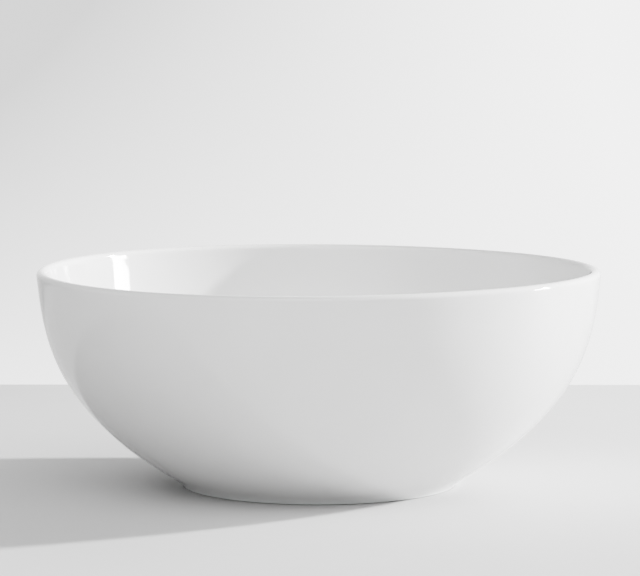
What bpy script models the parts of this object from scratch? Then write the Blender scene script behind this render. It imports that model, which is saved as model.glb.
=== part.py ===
"""A porcelain serving bowl: a deep coupe with a rounded lip, standing on a short turned foot ring.

The bowl is turned about +Z and stands on z = 0. Every outline is drawn in the half-plane of radius and
height, as points (radius, height) in metres, and is then spun about Z. The finished surface is drawn first.
The glaze is a thin coat behind that surface, and the clay lies behind the glaze.
"""
import math

import bmesh
import bpy
from mathutils import Vector
from mathutils.geometry import interpolate_bezier

# Driving dimensions of the finished, glazed bowl, in metres
RIM_RADIUS = 0.1335
HEIGHT = 0.1035
LIP_RADIUS = 0.0024
FOOT_RADIUS = 0.0655
FOOT_WIDTH = 0.0075
FLOOR_HEIGHT = 0.0096
RECESS_HEIGHT = 0.0046

# Outer wall: one curve from just above the foot's edge up to the lip
WALL_START_HEIGHT = 0.0018
WALL_START_ANGLE = math.radians(29.5)
WALL_START_REACH = 0.0705
WALL_END_ANGLE = math.radians(84.0)
WALL_END_REACH = 0.0295

# Inner wall: the outer wall set in by a thickness that grows towards the foot, then a cove to a flat floor
WALL_THICKNESS_AT_FOOT = 0.0052
FLAT_FLOOR_RADIUS = 0.046
COVE_REACH = 0.018
COVE_TOP_STEP = 2

# Foot flare: a hollow curve that carries the wall down to the foot's edge, with no upright face
FLARE_ANGLE = math.radians(75.0)
FLARE_TOP_HEIGHT = 0.0055

# Glaze, and the dry edge that it stops short of
GLAZE_THICKNESS = 0.0003
JOINT_GAP = 0.0003
DRY_EDGE_HEIGHT = 0.0003
ROLLED_WIDTH = 0.0011

# Facets
TURN_STEPS = 60
WALL_STEPS = 9
LIP_STEPS = 4
COVE_STEPS = 3
FLARE_STEPS = 3
ROLLED_STEPS = 2
SHARP_ANGLE = math.radians(40.0)
POLE_MERGE = 1e-6

# Linear colours
GLAZE_WHITE = (0.845, 0.845, 0.843)
BISCUIT_WHITE = (0.74, 0.71, 0.66)


def heading(angle):
    """Unit step in the half-plane, at an angle above the outward horizontal."""
    return Vector((math.cos(angle), math.sin(angle)))


def curve(start, start_angle, start_reach, end, end_angle, end_reach, steps):
    """Points along one cubic curve that leaves start and reaches end at the given angles."""
    start_handle = start + start_reach * heading(start_angle)
    end_handle = end - end_reach * heading(end_angle)
    return interpolate_bezier(start, start_handle, end_handle, end, steps + 1)


def left_normals(path):
    """The mitred normal to the left of each point of an open path."""
    sides = []
    for before, after in zip(path, path[1:]):
        along = (after - before).normalized()
        sides.append(Vector((-along.y, along.x)))
    normals = [sides[0]]
    for before, after in zip(sides, sides[1:]):
        middle = (before + after).normalized()
        normals.append(middle / middle.dot(before))
    normals.append(sides[-1])
    return normals


def offset(path, distance):
    """The path moved square to itself, to its right when the distance is positive."""
    return [point - distance * normal for point, normal in zip(path, left_normals(path))]


def outer_wall():
    """The finished outer wall, from above the foot's edge up to the lip. The flare takes its lower end."""
    start = Vector((FOOT_RADIUS, WALL_START_HEIGHT))
    end = Vector((RIM_RADIUS, HEIGHT - LIP_RADIUS))
    return curve(
        start, WALL_START_ANGLE, WALL_START_REACH,
        end, WALL_END_ANGLE, WALL_END_REACH, WALL_STEPS,
    )


def inner_wall(outer):
    """The finished inside, from the centre of the floor up to the lip."""
    inner = []
    for step, (point, normal) in enumerate(zip(outer, left_normals(outer))):
        share = step / WALL_STEPS
        thickness = WALL_THICKNESS_AT_FOOT + share * (2.0 * LIP_RADIUS - WALL_THICKNESS_AT_FOOT)
        inner.append(point + thickness * normal)
    inner[-1] = outer[-1] - Vector((2.0 * LIP_RADIUS, 0.0))
    upper = inner[COVE_TOP_STEP:]
    rise = upper[1] - upper[0]
    cove_angle = math.atan2(rise.y, rise.x)
    floor_edge = Vector((FLAT_FLOOR_RADIUS, FLOOR_HEIGHT))
    cove = curve(floor_edge, 0.0, COVE_REACH, upper[0], cove_angle, COVE_REACH, COVE_STEPS)
    return [Vector((0.0, FLOOR_HEIGHT))] + cove + upper[1:]


def lip():
    """The half-round lip between the inner and the outer wall, without its two ends."""
    centre = Vector((RIM_RADIUS - LIP_RADIUS, HEIGHT - LIP_RADIUS))
    turns = [math.pi * (1.0 - step / LIP_STEPS) for step in range(1, LIP_STEPS)]
    return [centre + LIP_RADIUS * heading(turn) for turn in turns]


def foot_flare(wall_start):
    """The hollow curve from the foot's edge up to the wall, which it joins along the wall's own slope."""
    edge = Vector((FOOT_RADIUS, DRY_EDGE_HEIGHT))
    climb = (FLARE_TOP_HEIGHT - wall_start.y) / math.sin(WALL_START_ANGLE)
    top = wall_start + climb * heading(WALL_START_ANGLE)
    along = top - edge
    turn = math.sin(FLARE_ANGLE - WALL_START_ANGLE)
    edge_reach = (along.y * math.cos(WALL_START_ANGLE) - along.x * math.sin(WALL_START_ANGLE)) / turn
    top_reach = (along.x * math.sin(FLARE_ANGLE) - along.y * math.cos(FLARE_ANGLE)) / turn
    share = 2.0 / 3.0
    return curve(
        edge, FLARE_ANGLE, share * edge_reach,
        top, WALL_START_ANGLE, share * top_reach, FLARE_STEPS,
    )


def finished_skin():
    """The main glazed surface: floor, inner wall, lip, outer wall and the foot's flare."""
    outer = outer_wall()
    return inner_wall(outer) + lip() + outer[:0:-1] + foot_flare(outer[0])[::-1]


def finished_base():
    """The second glazed surface: the foot's inner face and the recess that it surrounds."""
    inside_foot = FOOT_RADIUS - FOOT_WIDTH
    return [
        Vector((inside_foot, DRY_EDGE_HEIGHT)),
        Vector((inside_foot, RECESS_HEIGHT)),
        Vector((0.0, RECESS_HEIGHT)),
    ]


def turned(name, outline, closed, material):
    """Spin an outline about Z into one solid. An open outline starts and ends on the axis."""
    build = bmesh.new()
    corners = [build.verts.new((point.x, 0.0, point.y)) for point in outline]
    edges = [build.edges.new(pair) for pair in zip(corners, corners[1:])]
    if closed:
        edges.append(build.edges.new((corners[-1], corners[0])))
    bmesh.ops.spin(
        build, geom=corners + edges, cent=(0.0, 0.0, 0.0), axis=(0.0, 0.0, 1.0),
        angle=math.tau, steps=TURN_STEPS, use_merge=True,
    )
    bmesh.ops.remove_doubles(build, verts=build.verts, dist=POLE_MERGE)
    bmesh.ops.recalc_face_normals(build, faces=build.faces)
    mesh = bpy.data.meshes.new(name)
    build.to_mesh(mesh)
    build.free()
    mesh.shade_smooth()
    mesh.set_sharp_from_angle(angle=SHARP_ANGLE)
    mesh.materials.append(material)
    piece = bpy.data.objects.new(name, mesh)
    bpy.context.collection.objects.link(piece)
    return piece


def ceramic(name, color, roughness, coat):
    """A Principled material with an optional glassy coat."""
    material = bpy.data.materials.new(name)
    material.use_nodes = True
    shader = material.node_tree.nodes["Principled BSDF"]
    shader.inputs["Base Color"].default_value = (*color, 1.0)
    shader.inputs["Roughness"].default_value = roughness
    shader.inputs["Metallic"].default_value = 0.0
    shader.inputs["Coat Weight"].default_value = coat
    return material


def clay_surfaces():
    """The clay's wall down to the top of the flare, its flare, and the outer corner of its recess."""
    clay_depth = GLAZE_THICKNESS + JOINT_GAP
    skin = offset(finished_skin(), clay_depth)
    recess_corner = offset(finished_base(), clay_depth)[1]
    return skin[:-FLARE_STEPS], skin[-FLARE_STEPS - 1:], recess_corner


def bowl_body():
    """The clay wall and floor. Underneath, the lute face slopes in to the recess."""
    wall, _, recess_corner = clay_surfaces()
    recess_centre = Vector((0.0, recess_corner.y))
    outline = wall + [recess_corner, recess_centre]
    return turned("bowl_body", outline, False, ceramic("body_porcelain", BISCUIT_WHITE, 0.55, 0.0))


def rolled_edge(corner, width):
    """The bare edge of the clay, rolled from where the glaze ends down to the flat bearing face."""
    points = []
    for step in range(ROLLED_STEPS + 1):
        turn = math.pi / 2.0 * step / ROLLED_STEPS
        points.append(Vector((
            corner.x - width * (1.0 - math.cos(turn)),
            corner.y * (1.0 - math.sin(turn)),
        )))
    return points


def foot_ring():
    """The clay ring that is luted to the body, with a flat bearing face between two rolled edges."""
    _, flare, recess_corner = clay_surfaces()
    slope = math.atan2(recess_corner.y - flare[0].y, flare[0].x - recess_corner.x)
    joint = Vector((0.0, JOINT_GAP / math.cos(slope)))
    inner_edge = Vector((recess_corner.x, DRY_EDGE_HEIGHT))
    outline = [flare[0] - joint] + flare[1:-1]
    outline += rolled_edge(flare[-1], ROLLED_WIDTH) + rolled_edge(inner_edge, -ROLLED_WIDTH)[::-1]
    outline += [recess_corner - joint]
    return turned("foot_ring", outline, True, ceramic("foot_porcelain", BISCUIT_WHITE, 0.65, 0.0))


def glaze_coat():
    """The main coat of glaze, a thin shell that stops at the foot's dry edge."""
    front = finished_skin()
    back = offset(front, GLAZE_THICKNESS)
    return turned("glaze_coat", front + back[::-1], False, ceramic("main_glaze", GLAZE_WHITE, 0.06, 1.0))


def base_glaze():
    """The island of glaze on the foot's inner face and in the recess."""
    front = finished_base()
    back = offset(front, GLAZE_THICKNESS)
    return turned("base_glaze", back[::-1] + front, False, ceramic("recess_glaze", GLAZE_WHITE, 0.08, 1.0))


def main():
    for item in list(bpy.data.objects):
        bpy.data.objects.remove(item, do_unlink=True)
    bowl_body()
    foot_ring()
    glaze_coat()
    base_glaze()


main()
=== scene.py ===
"""Looks of the porcelain serving bowl: smooth clay and glaze, procedural materials, and a small studio.

The outer sizes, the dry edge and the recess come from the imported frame, and the curves between them are the
CAD part's own. The bowl is turned about +Z and stands on z = 0. Outlines are drawn in the half-plane of
radius and height, as (radius, height) points, and are turned about Z into closed shells. The finished
surface is drawn first. The glaze is a thin coat behind it, and the clay lies behind the glaze.
"""
import math

import bmesh
import bpy
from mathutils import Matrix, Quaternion, Vector
from mathutils.geometry import interpolate_bezier


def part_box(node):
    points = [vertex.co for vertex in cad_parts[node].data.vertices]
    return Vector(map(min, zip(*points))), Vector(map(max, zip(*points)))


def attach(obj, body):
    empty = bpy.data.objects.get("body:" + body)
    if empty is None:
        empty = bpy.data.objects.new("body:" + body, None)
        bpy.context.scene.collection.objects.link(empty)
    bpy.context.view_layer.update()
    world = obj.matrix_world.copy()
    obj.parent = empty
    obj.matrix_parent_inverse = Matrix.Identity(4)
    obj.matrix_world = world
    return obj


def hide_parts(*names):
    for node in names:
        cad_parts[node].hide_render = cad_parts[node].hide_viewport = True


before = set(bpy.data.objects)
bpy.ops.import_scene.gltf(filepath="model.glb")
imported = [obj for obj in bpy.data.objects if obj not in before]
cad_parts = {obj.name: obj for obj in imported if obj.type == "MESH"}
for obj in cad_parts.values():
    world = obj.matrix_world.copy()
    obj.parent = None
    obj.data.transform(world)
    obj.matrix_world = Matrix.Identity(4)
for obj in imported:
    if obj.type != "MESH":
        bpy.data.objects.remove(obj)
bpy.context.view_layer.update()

# Driving sizes in metres, read from the frame apart from the glaze's own thickness
GLAZE_THICKNESS = 0.0003
COAT_LOW, COAT_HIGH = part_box("glaze_coat")
BASE_LOW, BASE_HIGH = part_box("base_glaze")
RIM_RADIUS = COAT_HIGH.x
HEIGHT = COAT_HIGH.z
DRY_EDGE_HEIGHT = COAT_LOW.z
INSIDE_FOOT_RADIUS = BASE_HIGH.x - GLAZE_THICKNESS
RECESS_HEIGHT = BASE_HIGH.z - GLAZE_THICKNESS

# The outline between those sizes, as the CAD part draws it
LIP_RADIUS = 0.0024
FOOT_WIDTH = 0.0075
FOOT_RADIUS = INSIDE_FOOT_RADIUS + FOOT_WIDTH
FLARE_ANGLE = math.radians(75.0)
FLARE_TOP_HEIGHT = 0.0055
WALL_START_HEIGHT = 0.0018
WALL_START_ANGLE = math.radians(29.5)
WALL_START_REACH = 0.0705
WALL_END_ANGLE = math.radians(84.0)
WALL_END_REACH = 0.0295
WALL_THICKNESS_AT_FOOT = 0.0052
FLOOR_HEIGHT = 0.0096
FLAT_FLOOR_RADIUS = 0.046
COVE_REACH = 0.018
COVE_TOP_SHARE = 2.0 / 9.0

# Soft corners that the glaze and the potter's sponge leave, and the gap that keeps the clay off the glaze
RECESS_FILLET = 0.0015
ROLLED_WIDTH = 0.0011
CLAY_BEHIND_GLAZE = 0.00005

# Kiln warp: the rim is a shallow saddle, which drops by up to twice this depth in two opposite quarters
RIM_WARP = 0.00048

# Facets
TURN_STEPS = 192
WALL_STEPS = 54
COVE_STEPS = 14
LIP_STEPS = 14
FLARE_STEPS = 8
FILLET_STEPS = 5
BEAD_STEPS = 4
FLOOR_RINGS = (0.0, 0.012, 0.024, 0.035)
POLE_MERGE = 1e-6
SHARP_ANGLE = math.radians(50.0)

# The studio, in metres, degrees and watts, with the lens and its sensor in millimetres
CAMERA_PLACE = (0.0006, -1.656, 0.2591)
CAMERA_DIP = 5.71
CAMERA_ROLL = -0.07
LENS = 197.34
SENSOR_WIDTH = 36.0
STAGE_BACK = 0.3647
STAGE_TURN = -0.83
STAGE_REACH = 3.0
STAGE_ROLL = 0.08
STAGE_FALL = 9.0
ROLL_STEPS = 8
KEY_BEARING = 17.0
KEY_RISE = 20.3
KEY_DISTANCE = 6.0
KEY_WIDTH = 0.36
KEY_POWER = 578.0
WINDOW_BEARING = 10.2
WINDOW_DISTANCE = 3.0
WINDOW_SIZE = (0.5, 0.6)
WINDOW_HEIGHT = 0.55
WINDOW_LEAN = -16.0
WINDOW_POWER = 24.0

# The room's light: each lobe has a direction, a sharpness and a strength. The last one is a weak light from
# below, which only shows if the board is hidden.
ROOM_LOBES = (
    ((0.0, -1.0, 1.0), 4.0, 1.91),
    ((1.0, 0.0, 1.0), 4.0, 0.3),
    ((1.0, 0.0, 0.2), 4.0, 0.09),
    ((1.0, 1.0, 0.28), 4.0, 1.68),
    ((-1.0, 1.0, 0.28), 4.0, 0.46),
    ((-1.0, 0.0, 0.1), 12.0, 0.78),
    ((0.0, 1.0, 0.1), 12.0, 0.78),
    ((0.0, 0.0, -1.0), 2.0, 0.6),
)
ROOM_COLOR = (1.0, 1.0, 1.0, 1.0)

# The wall behind the bowl: its tone straight ahead, and its change sideways, upwards and with both
# Its changes are painted light and shade on a backdrop that only the camera sees: paler to the right, darker
# upwards and more so to the left.
WALL_TONE = 1.108
WALL_LIGHT_SLOPE = 6.9
WALL_SHADE_RISE = -2.15
WALL_LIGHT_TWIST = 42.9
WALL_DARKEST = 0.75
WALL_PALEST = 1.6

# Glaze. Colours are linear, a noise is (cycles per metre, detail), a bump is (metres, strength), and tints
# are shares. Pinholes are one to a cell, and their radii are shares of a cell.
GLAZE_WHITE = (0.845, 0.845, 0.843)
GLAZE_CLOUD = (0.83, 0.83, 0.827)
CLOUD_NOISE = (24.0, 3.0)
CLOUD_RANGE = (0.3, 0.7)
# Pooled glaze near the foot: a faint blue-green tint, paler than the glaze, which is also painted light in
# the shaded crease above the foot.
GLAZE_POOL_TINT_AND_LIGHT = (0.865, 0.885, 0.88)
POOL_LIGHT_TOP = 0.0045
POOL_LIGHT_FULL = 0.0008
POOL_LIGHT_SHARE = 0.55
# Thinned glaze at the lip: a warm tint, a little paler than the glaze, which is also painted light on the top
# of the lip.
GLAZE_THIN_TINT_AND_LIGHT = (0.86, 0.855, 0.84)
THIN_LIGHT_START = HEIGHT - 0.0022
THIN_LIGHT_FULL = HEIGHT - 0.0002
THIN_LIGHT_SHARE = 0.35
GLAZE_SPECK = (0.42, 0.38, 0.33)
PINHOLE_SCALE = 45.0
PINHOLE_RADIUS = 0.014
PINHOLE_CORE = 0.008
PINHOLE_TINT = 0.35
PINHOLE_BUMP = (0.00006, 0.6)
WIPE_NOISE = (60.0, 4.0)
WIPE_RANGE = (0.3, 0.75)
WIPE_ROUGHNESS = (0.035, 0.075)
PEEL_NOISE = (900.0, 2.0)
PEEL_BUMP = (0.00001, 0.25)
MAIN_FLOW_NOISE = (38.0, 2.0)
MAIN_FLOW_BUMP = (0.0002, 0.05)
BASE_FLOW_NOISE = (90.0, 2.0)
BASE_FLOW_BUMP = (0.0002, 0.2)
GLAZE_IOR = 1.52
GLAZE_COAT = 0.25
GLAZE_COAT_ROUGHNESS = 0.03

# Bare clay, in the same units. The grinding marks are a sine of the radius, in radians per metre
BISCUIT_WHITE = (0.74, 0.71, 0.66)
BISCUIT_STAINED = (0.7, 0.665, 0.61)
STAIN_NOISE = (70.0, 4.0)
STAIN_RANGE = (0.35, 0.7)
GRAIN_NOISE = (1800.0, 5.0)
GRAIN_RANGE = (0.25, 0.75)
GRAIN_ROUGHNESS = (0.62, 0.88)
GRAIN_BUMP = (0.00003, 0.7)
BISCUIT_WORN = (0.46, 0.44, 0.41)
WORN_HEIGHT = 0.00045
FOOT_WORN = 0.6
BODY_WORN = 0.0
MARK_RATE = 9000.0
MARK_BUMP = (0.00002, 0.4)

# The board, in the same units. Its tone rises towards the right, and more so towards the back: painted light,
# paler where more light falls
FLOOR_PALE = (0.67, 0.67, 0.67)
FLOOR_SHADE = (0.65, 0.65, 0.65)
FLOOR_NOISE = (6.0, 4.0)
FLOOR_RANGE = (0.25, 0.75)
FLOOR_LIGHT_SLOPE = 0.38
FLOOR_LIGHT_TWIST = 1.0
FLOOR_DARKEST = 0.86
FLOOR_PALEST = 1.1
FLOOR_SPECULAR = 0.3
ROLLER_NOISE = (700.0, 4.0)
ROLLER_RANGE = (0.2, 0.8)
ROLLER_ROUGHNESS = (0.6, 0.75)
ROLLER_BUMP = (0.00008, 0.35)


def heading(angle):
    """Unit step in the half-plane, at an angle above the outward horizontal."""
    return Vector((math.cos(angle), math.sin(angle)))


def curve(start, start_angle, start_reach, end, end_angle, end_reach, steps):
    """Points along one cubic curve that leaves start and reaches end at the given angles."""
    start_handle = start + start_reach * heading(start_angle)
    end_handle = end - end_reach * heading(end_angle)
    return interpolate_bezier(start, start_handle, end_handle, end, steps + 1)


def arc(centre, radius, first, last, steps):
    """Points of an arc, both ends included."""
    return [centre + radius * heading(first + (last - first) * step / steps) for step in range(steps + 1)]


def left_normals(path):
    """The mitred normal to the left of each point of an open path."""
    sides = []
    for before, after in zip(path, path[1:]):
        along = (after - before).normalized()
        sides.append(Vector((-along.y, along.x)))
    normals = [sides[0]]
    for before, after in zip(sides, sides[1:]):
        middle = (before + after).normalized()
        normals.append(middle / middle.dot(before))
    normals.append(sides[-1])
    return normals


def offset(path, distance):
    """The path moved square to itself, to its right when the distance is positive."""
    return [point - distance * normal for point, normal in zip(path, left_normals(path))]


def outer_wall():
    """The finished outer wall, from above the foot's edge up to where the lip begins."""
    lean = math.pi / 2.0 - WALL_END_ANGLE
    start = Vector((FOOT_RADIUS, WALL_START_HEIGHT))
    end = Vector((
        RIM_RADIUS - LIP_RADIUS * (1.0 - math.cos(lean)),
        HEIGHT - LIP_RADIUS * (1.0 + math.sin(lean)),
    ))
    return curve(
        start, WALL_START_ANGLE, WALL_START_REACH,
        end, WALL_END_ANGLE, WALL_END_REACH, WALL_STEPS,
    )


def inner_wall(outer):
    """The finished inside, from the centre of the floor up to the lip."""
    inner = []
    for step, (point, normal) in enumerate(zip(outer, left_normals(outer))):
        share = step / WALL_STEPS
        thickness = WALL_THICKNESS_AT_FOOT + share * (2.0 * LIP_RADIUS - WALL_THICKNESS_AT_FOOT)
        inner.append(point + thickness * normal)
    upper = inner[round(COVE_TOP_SHARE * WALL_STEPS):]
    rise = upper[1] - upper[0]
    cove_angle = math.atan2(rise.y, rise.x)
    floor_edge = Vector((FLAT_FLOOR_RADIUS, FLOOR_HEIGHT))
    cove = curve(floor_edge, 0.0, COVE_REACH, upper[0], cove_angle, COVE_REACH, COVE_STEPS)
    return [Vector((radius, FLOOR_HEIGHT)) for radius in FLOOR_RINGS] + cove + upper[1:]


def lip(outer):
    """The rounded lip, which meets both walls without a crease. Its two ends are the walls' own ends."""
    across = WALL_END_ANGLE + math.pi / 2.0
    centre = outer[-1] + LIP_RADIUS * heading(across)
    return arc(centre, LIP_RADIUS, across, across - math.pi, LIP_STEPS)[1:-1]


def foot_flare(wall):
    """The hollow curve from the foot's edge up to the wall, which it joins without a crease."""
    edge = Vector((FOOT_RADIUS, DRY_EDGE_HEIGHT))
    top = wall[0]
    rise = wall[1] - top
    slope = math.atan2(rise.y, rise.x)
    along = top - edge
    turn = math.sin(FLARE_ANGLE - slope)
    edge_reach = (along.y * math.cos(slope) - along.x * math.sin(slope)) / turn
    top_reach = (along.x * math.sin(FLARE_ANGLE) - along.y * math.cos(FLARE_ANGLE)) / turn
    share = 2.0 / 3.0
    return curve(edge, FLARE_ANGLE, share * edge_reach, top, slope, share * top_reach, FLARE_STEPS)


def finished_skin():
    """The main glazed surface: from the axis over the inside and the lip, and down outside to the foot."""
    outer = outer_wall()
    wall = [point for point in outer if point.y > FLARE_TOP_HEIGHT]
    flare = foot_flare(wall)
    return inner_wall(outer) + lip(outer) + wall[:0:-1] + flare[::-1]


def finished_base():
    """The second glazed surface, from the axis over the recess and down the foot's inner face."""
    rings = [Vector((radius, RECESS_HEIGHT)) for radius in FLOOR_RINGS]
    centre = Vector((INSIDE_FOOT_RADIUS - RECESS_FILLET, RECESS_HEIGHT - RECESS_FILLET))
    corner = arc(centre, RECESS_FILLET, math.pi / 2.0, 0.0, FILLET_STEPS)
    edge = Vector((INSIDE_FOOT_RADIUS, DRY_EDGE_HEIGHT))
    return rings + corner + [edge]


def coat(front, depth):
    """The outline of a coat of glaze, closed at the dry edge by a round bead. Depth leads to the clay."""
    back = offset(front, depth)
    middle = (front[-1] + back[-1]) / 2.0
    outward = front[-1] - middle
    first = math.atan2(outward.y, outward.x)
    bead = arc(middle, abs(depth) / 2.0, first, first - math.copysign(math.pi, depth), BEAD_STEPS)
    return front + bead[1:-1] + back[::-1]


def rolled_edge(corner, width):
    """The bare edge of the clay, rolled from where the glaze ends down to the flat bearing face."""
    points = []
    for step in range(FILLET_STEPS + 1):
        turn = math.pi / 2.0 * step / FILLET_STEPS
        points.append(Vector((
            corner.x - width * (1.0 - math.cos(turn)),
            corner.y * (1.0 - math.sin(turn)),
        )))
    return points


def clay_outlines():
    """The body's and the foot's outlines in clay, close behind the glaze and close at the luted joint."""
    depth = GLAZE_THICKNESS + CLAY_BEHIND_GLAZE
    skin = offset(finished_skin(), depth)
    base = offset(finished_base(), -depth)
    wall_end = len(skin) - FLARE_STEPS - 1
    recess_end = len(FLOOR_RINGS)
    joint = Vector((0.0, CLAY_BEHIND_GLAZE))
    body = skin[:wall_end + 1] + base[recess_end::-1]
    foot = [skin[wall_end] - joint] + skin[wall_end + 1:-1]
    foot += rolled_edge(skin[-1], ROLLED_WIDTH) + rolled_edge(base[-1], -ROLLED_WIDTH)[::-1]
    foot += base[-2:recess_end:-1] + [base[recess_end] - joint]
    return body, foot


def warped(x, y, z):
    """A point of the true turned shape, moved to where the kiln's warp leaves it."""
    bearing = math.atan2(y, x)
    share = (z / HEIGHT) ** 2
    return x, y, z - RIM_WARP * (1.0 + math.sin(2.0 * bearing)) * share


def turned(name, outline, closed, material, node):
    """Spin an outline about Z into one closed piece that stands for a CAD node."""
    build = bmesh.new()
    corners = [build.verts.new((point.x, 0.0, point.y)) for point in outline]
    edges = [build.edges.new(pair) for pair in zip(corners, corners[1:])]
    if closed:
        edges.append(build.edges.new((corners[-1], corners[0])))
    bmesh.ops.spin(
        build, geom=corners + edges, cent=(0.0, 0.0, 0.0), axis=(0.0, 0.0, 1.0),
        angle=math.tau, steps=TURN_STEPS, use_merge=True,
    )
    bmesh.ops.remove_doubles(build, verts=build.verts, dist=POLE_MERGE)
    bmesh.ops.recalc_face_normals(build, faces=build.faces)
    for corner in build.verts:
        corner.co = warped(*corner.co)
    mesh = bpy.data.meshes.new(name)
    build.to_mesh(mesh)
    build.free()
    mesh.shade_smooth()
    mesh.set_sharp_from_angle(angle=SHARP_ANGLE)
    mesh.materials.append(material)
    piece = bpy.data.objects.new(name, mesh)
    bpy.context.scene.collection.objects.link(piece)
    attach(piece, "root")
    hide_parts(node)


def add(tree, kind, inputs=None, **settings):
    """Add one node. An input takes a plain value, or another node's output to link from."""
    made = tree.nodes.new(kind)
    for setting, value in settings.items():
        setattr(made, setting, value)
    for socket, value in (inputs or {}).items():
        if isinstance(value, bpy.types.NodeSocket):
            tree.links.new(value, made.inputs[socket])
        else:
            made.inputs[socket].default_value = value
    return made


def math_node(tree, operation, *values):
    """The output of one Math node."""
    return add(tree, "ShaderNodeMath", dict(enumerate(values)), operation=operation).outputs[0]


def limited(tree, value, lowest, highest):
    """A value kept between two limits."""
    return math_node(tree, "MINIMUM", math_node(tree, "MAXIMUM", value, lowest), highest)


def noise(tree, place, scale, detail):
    """Noise from 0 to 1. Scale is in cycles per metre."""
    made = add(tree, "ShaderNodeTexNoise", {"Vector": place, "Scale": scale, "Detail": detail})
    return made.outputs["Fac"]


def ramp(tree, value, low, high, to_low=0.0, to_high=1.0):
    """A value eased from one range to another."""
    made = add(
        tree, "ShaderNodeMapRange",
        {"Value": value, "From Min": low, "From Max": high, "To Min": to_low, "To Max": to_high},
        interpolation_type="SMOOTHSTEP",
    )
    return made.outputs["Result"]


def blend(tree, share, color_a, color_b):
    """Two colours mixed by a share that varies over the surface."""
    made = add(tree, "ShaderNodeMix", {"Factor": share}, data_type="RGBA")
    for socket, color in (("A", color_a), ("B", color_b)):
        target = [found for found in made.inputs if found.name == socket and found.type == "RGBA"][0]
        if isinstance(color, bpy.types.NodeSocket):
            tree.links.new(color, target)
        else:
            target.default_value = (*color, 1.0)
    return [found for found in made.outputs if found.type == "RGBA"][0]


def bump(tree, height, distance, strength, normal=None):
    """A bump from a height of 0 to 1, over a distance in metres."""
    inputs = {"Height": height, "Distance": distance, "Strength": strength}
    if normal is not None:
        inputs["Normal"] = normal
    return add(tree, "ShaderNodeBump", inputs).outputs["Normal"]


def material_start(name):
    """A new material: its tree, its shader, and the object's own coordinates in metres."""
    material = bpy.data.materials.new(name)
    material.use_nodes = True
    tree = material.node_tree
    shader = tree.nodes["Principled BSDF"]
    place = add(tree, "ShaderNodeTexCoord").outputs["Object"]
    return material, tree, shader, place


def glaze_material(name, flow_noise, flow_bump):
    """Fired white glaze: a wet gloss with a faint flow, rare pinholes, and a tint where it pools or thins.
    Both tints are paler than the glaze and are partly painted light, in the crease above the foot and on the
    lip.
    """
    material, tree, shader, place = material_start(name)
    height = add(tree, "ShaderNodeSeparateXYZ", {"Vector": place}).outputs["Z"]

    cloud = ramp(tree, noise(tree, place, *CLOUD_NOISE), *CLOUD_RANGE)
    color = blend(tree, cloud, GLAZE_WHITE, GLAZE_CLOUD)
    # Painted light: near the foot the paler pooled tint lightens the shaded crease above the foot.
    pool_and_painted_light = ramp(tree, height, POOL_LIGHT_TOP, POOL_LIGHT_FULL, 0.0, POOL_LIGHT_SHARE)
    color = blend(tree, pool_and_painted_light, color, GLAZE_POOL_TINT_AND_LIGHT)
    # Painted light: the warm tint at the lip is a little paler than the glaze, and lightens the lip.
    thin_and_painted_light = ramp(tree, height, THIN_LIGHT_START, THIN_LIGHT_FULL, 0.0, THIN_LIGHT_SHARE)
    color = blend(tree, thin_and_painted_light, color, GLAZE_THIN_TINT_AND_LIGHT)
    cell = add(tree, "ShaderNodeTexVoronoi", {"Vector": place, "Scale": PINHOLE_SCALE})
    pinhole = ramp(tree, cell.outputs["Distance"], PINHOLE_RADIUS, PINHOLE_CORE)
    color = blend(tree, math_node(tree, "MULTIPLY", pinhole, PINHOLE_TINT), color, GLAZE_SPECK)
    tree.links.new(color, shader.inputs["Base Color"])

    wiped = ramp(tree, noise(tree, place, *WIPE_NOISE), *WIPE_RANGE, *WIPE_ROUGHNESS)
    tree.links.new(wiped, shader.inputs["Roughness"])

    flow = bump(tree, noise(tree, place, *flow_noise), *flow_bump)
    peel = bump(tree, noise(tree, place, *PEEL_NOISE), *PEEL_BUMP, flow)
    pitted = bump(tree, math_node(tree, "SUBTRACT", 1.0, pinhole), *PINHOLE_BUMP, peel)
    tree.links.new(pitted, shader.inputs["Normal"])
    shader.inputs["IOR"].default_value = GLAZE_IOR
    shader.inputs["Coat Weight"].default_value = GLAZE_COAT
    shader.inputs["Coat Roughness"].default_value = GLAZE_COAT_ROUGHNESS
    return material


def biscuit_material(name, worn_share):
    """Bare fired porcelain: matt, warm white and finely grained, with ring marks where it is ground flat."""
    material, tree, shader, place = material_start(name)
    parts = add(tree, "ShaderNodeSeparateXYZ", {"Vector": place}).outputs
    grain = noise(tree, place, *GRAIN_NOISE)
    stain = ramp(tree, noise(tree, place, *STAIN_NOISE), *STAIN_RANGE)
    color = blend(tree, stain, BISCUIT_WHITE, BISCUIT_STAINED)
    worn = ramp(tree, parts["Z"], WORN_HEIGHT, 0.0, 0.0, worn_share)
    color = blend(tree, math_node(tree, "MULTIPLY", worn, grain), color, BISCUIT_WORN)
    tree.links.new(color, shader.inputs["Base Color"])
    tree.links.new(ramp(tree, grain, *GRAIN_RANGE, *GRAIN_ROUGHNESS), shader.inputs["Roughness"])

    flat = add(tree, "ShaderNodeCombineXYZ", {"X": parts["X"], "Y": parts["Y"]}).outputs[0]
    radius = add(tree, "ShaderNodeVectorMath", {0: flat}, operation="LENGTH").outputs["Value"]
    wave = math_node(tree, "SINE", math_node(tree, "MULTIPLY", radius, MARK_RATE))
    rings = math_node(tree, "MULTIPLY", math_node(tree, "MULTIPLY_ADD", wave, 0.5, 0.5), worn)
    marked = bump(tree, rings, *MARK_BUMP)
    tree.links.new(bump(tree, grain, *GRAIN_BUMP, marked), shader.inputs["Normal"])
    return material


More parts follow.
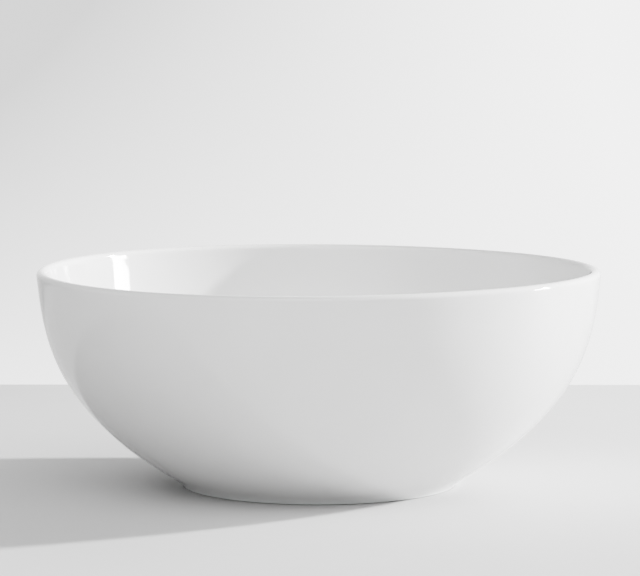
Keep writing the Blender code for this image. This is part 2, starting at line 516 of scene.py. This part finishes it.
def floor_material():
    """A matt painted board with a faint roller texture, and painted light that leaves it a little paler
    towards the right.
    """
    material, tree, shader, place = material_start("studio_board")
    cloud = ramp(tree, noise(tree, place, *FLOOR_NOISE), *FLOOR_RANGE)
    color = blend(tree, cloud, FLOOR_PALE, FLOOR_SHADE)
    parts = add(tree, "ShaderNodeSeparateXYZ", {"Vector": place}).outputs
    # Painted light: the board's colour is scaled up towards the right and back right, and down towards the
    # back left.
    slope = math_node(tree, "MULTIPLY_ADD", parts["Y"], FLOOR_LIGHT_TWIST, FLOOR_LIGHT_SLOPE)
    tone = math_node(tree, "MULTIPLY_ADD", parts["X"], slope, 1.0)
    tone = limited(tree, tone, FLOOR_DARKEST, FLOOR_PALEST)
    color = add(tree, "ShaderNodeVectorMath", {0: color, 1: tone}, operation="MULTIPLY").outputs["Vector"]
    tree.links.new(color, shader.inputs["Base Color"])
    grain = noise(tree, place, *ROLLER_NOISE)
    tree.links.new(ramp(tree, grain, *ROLLER_RANGE, *ROLLER_ROUGHNESS), shader.inputs["Roughness"])
    tree.links.new(bump(tree, grain, *ROLLER_BUMP), shader.inputs["Normal"])
    shader.inputs["Specular IOR Level"].default_value = FLOOR_SPECULAR
    return material


def floor_outline():
    """The board's section, as (y, z) points: level, then rolled over to a slope that falls away behind."""
    upright = math.pi / 2.0
    fall = math.radians(STAGE_FALL)
    roll = arc(Vector((STAGE_BACK, -STAGE_ROLL)), STAGE_ROLL, upright, upright - fall, ROLL_STEPS)
    far_end = roll[-1] + STAGE_REACH * heading(-fall)
    return [Vector((-STAGE_REACH, 0.0))] + roll + [far_end]


def make_floor():
    """The board that the bowl stands on. Its level part ends a short way behind the bowl."""
    mesh = bpy.data.meshes.new("studio_floor")
    outline = floor_outline()
    corners = [(side * STAGE_REACH, point.x, point.y) for point in outline for side in (-1.0, 1.0)]
    strips = [(row, row + 1, row + 3, row + 2) for row in range(0, 2 * len(outline) - 2, 2)]
    mesh.from_pydata(corners, [], strips)
    mesh.shade_smooth()
    mesh.materials.append(floor_material())
    floor = bpy.data.objects.new("studio_floor", mesh)
    floor.rotation_euler.z = math.radians(STAGE_TURN)
    bpy.context.scene.collection.objects.link(floor)


def make_room():
    """The room's soft light, which varies by direction, and the pale wall seen behind the bowl, whose painted
    light and shade only the camera sees.
    """
    world = bpy.data.worlds.new("studio_room")
    world.use_nodes = True
    tree = world.node_tree
    tree.nodes.clear()
    way = add(tree, "ShaderNodeTexCoord").outputs["Generated"]
    parts = add(tree, "ShaderNodeSeparateXYZ", {"Vector": way}).outputs

    room = 0.0
    for direction, sharpness, strength in ROOM_LOBES:
        toward = Vector(direction).normalized()
        aligned = add(tree, "ShaderNodeVectorMath", {0: way, 1: toward}, operation="DOT_PRODUCT")
        facing = math_node(tree, "MAXIMUM", aligned.outputs["Value"], 0.0)
        lobe = math_node(tree, "POWER", facing, sharpness)
        room = math_node(tree, "MULTIPLY_ADD", lobe, strength, room)
    # Painted light and shade on the wall: paler to the right, darker upwards and more so to the left.
    slope = math_node(tree, "MULTIPLY_ADD", parts["Z"], WALL_LIGHT_TWIST, WALL_LIGHT_SLOPE)
    wall = math_node(tree, "MULTIPLY_ADD", parts["Z"], WALL_SHADE_RISE, WALL_TONE)
    wall = math_node(tree, "MULTIPLY_ADD", parts["X"], slope, wall)
    wall = limited(tree, wall, WALL_DARKEST, WALL_PALEST)
    seen = add(tree, "ShaderNodeLightPath").outputs["Is Camera Ray"]
    light = add(tree, "ShaderNodeMix", {"Factor": seen, "A": room, "B": wall}, data_type="FLOAT")
    brightness = light.outputs["Result"]
    background = add(tree, "ShaderNodeBackground", {"Color": ROOM_COLOR, "Strength": brightness})
    output = add(tree, "ShaderNodeOutputWorld")
    tree.links.new(background.outputs[0], output.inputs["Surface"])
    bpy.context.scene.world = world


def lamp(name, shape, size, power, place, facing, lean):
    """A one-sided lamp that faces along its own -Z, and that the camera never sees directly."""
    data = bpy.data.lights.new(name, "AREA")
    data.shape = shape
    data.size, data.size_y = size
    data.energy = power
    made = bpy.data.objects.new(name, data)
    made.location = place
    made.rotation_mode = "QUATERNION"
    turn = Quaternion((0.0, 0.0, 1.0), math.radians(lean))
    made.rotation_quaternion = facing.to_track_quat("Z", "Y") @ turn
    made.visible_camera = False
    bpy.context.scene.collection.objects.link(made)
    return made


def make_key():
    """A small far window, low behind the bowl's right. It throws the bowl's shadow."""
    bearing = math.radians(KEY_BEARING)
    rise = math.radians(KEY_RISE)
    flat = math.cos(rise)
    away = Vector((flat * math.cos(bearing), flat * math.sin(bearing), math.sin(rise)))
    lamp("key", "DISK", (KEY_WIDTH, KEY_WIDTH), KEY_POWER, KEY_DISTANCE * away, away, 0.0)


def make_window():
    """A bright pane at the right. Only gloss sees it: it is the streak inside the bowl's left wall."""
    bearing = math.radians(WINDOW_BEARING)
    away = Vector((math.cos(bearing), math.sin(bearing), 0.0))
    place = WINDOW_DISTANCE * away + Vector((0.0, 0.0, WINDOW_HEIGHT))
    pane = lamp("window", "RECTANGLE", WINDOW_SIZE, WINDOW_POWER, place, away, WINDOW_LEAN)
    pane.visible_diffuse = False


def make_camera():
    """A long lens, a little above the rim, which looks along +Y and down into the bowl."""
    lens = bpy.data.cameras.new("camera")
    lens.lens = LENS
    lens.sensor_width = SENSOR_WIDTH
    camera = bpy.data.objects.new("camera", lens)
    camera.location = CAMERA_PLACE
    camera.rotation_mode = "ZYX"
    camera.rotation_euler = (math.radians(90.0 - CAMERA_DIP), 0.0, math.radians(CAMERA_ROLL))
    bpy.context.scene.collection.objects.link(camera)
    bpy.context.scene.camera = camera


def make_bowl():
    """The four pieces of the bowl, each in place of its CAD node."""
    body, foot = clay_outlines()
    body_biscuit = biscuit_material("biscuit_body", BODY_WORN)
    foot_biscuit = biscuit_material("biscuit_foot", FOOT_WORN)
    turned("body_clay", body, False, body_biscuit, "bowl_body")
    turned("foot_clay", foot, True, foot_biscuit, "foot_ring")
    main_coat = coat(finished_skin(), GLAZE_THICKNESS)
    base_coat = coat(finished_base(), -GLAZE_THICKNESS)
    main_gloss = glaze_material("white_gloss", MAIN_FLOW_NOISE, MAIN_FLOW_BUMP)
    base_gloss = glaze_material("recess_gloss", BASE_FLOW_NOISE, BASE_FLOW_BUMP)
    turned("glaze_main", main_coat, False, main_gloss, "glaze_coat")
    turned("glaze_base", base_coat, False, base_gloss, "base_glaze")


bpy.context.scene.view_settings.view_transform = "AgX"
bpy.context.scene.view_settings.look = "AgX - Very High Contrast"
make_camera()
make_bowl()
make_floor()
make_room()
make_key()
make_window()
